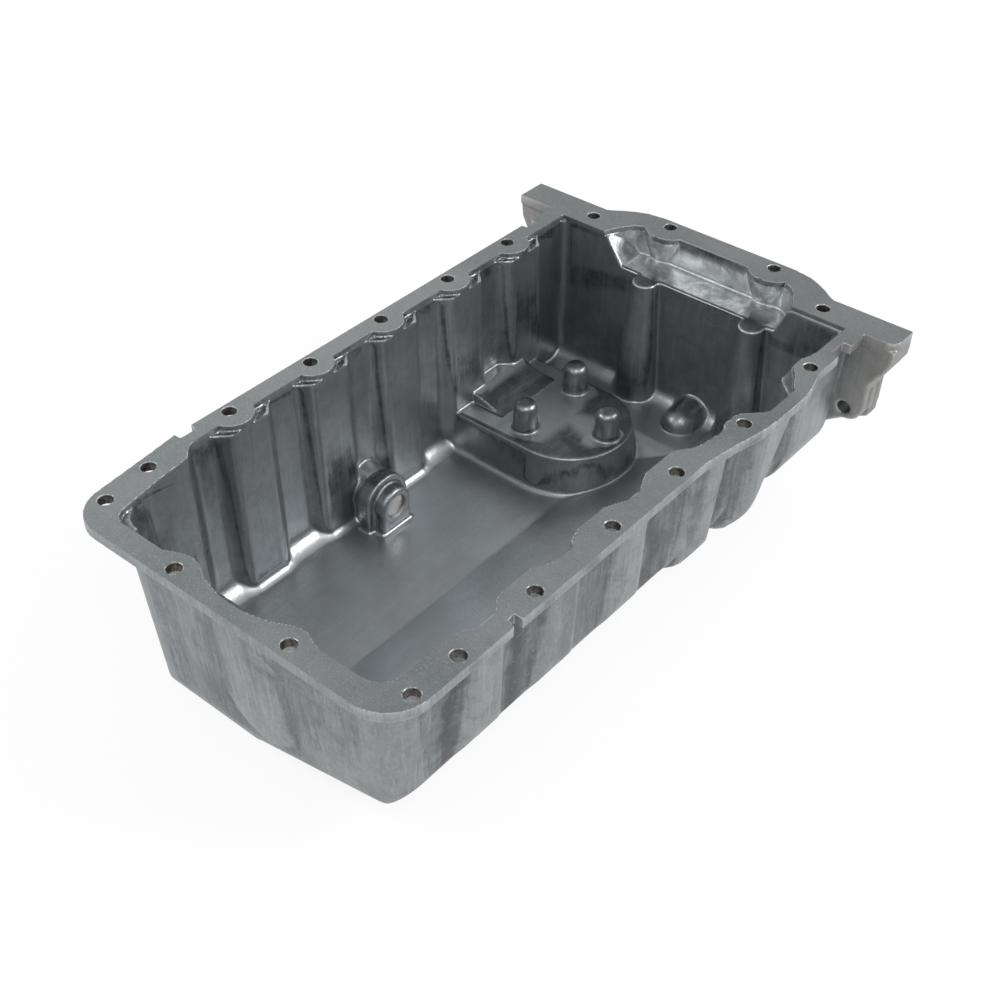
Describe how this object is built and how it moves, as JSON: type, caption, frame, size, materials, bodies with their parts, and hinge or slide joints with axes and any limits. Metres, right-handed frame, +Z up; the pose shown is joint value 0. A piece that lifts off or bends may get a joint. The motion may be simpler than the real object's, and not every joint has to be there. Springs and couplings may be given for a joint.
{
  "type": "engine oil pan",
  "caption": "Cast aluminium engine oil pan with a wavy bolted gasket flange, ribbed sump walls, pickup pad with posts, drain boss with plug and two bell housing ears.",
  "frame": {"origin": "centre of the bounding box in plan, on the plane the sump floor stands on", "axes": "+Z up from the sump floor to the gasket face, +X along the engine from the timing end to the gearbox end, +Y across to the drain plug side"},
  "size_m": [0.4284, 0.2726, 0.117],
  "materials": {
    "cast_aluminium": "as cast, shot blasted, with milled faces",
    "plug_steel": "zinc plated",
    "washer_aluminium": "soft aluminium sealing ring"
  },
  "bodies": {
    "root": {"oil_pan": "cast_aluminium", "drain_plug": "plug_steel", "drain_plug_washer": "washer_aluminium"}
  },
  "joints": []
}
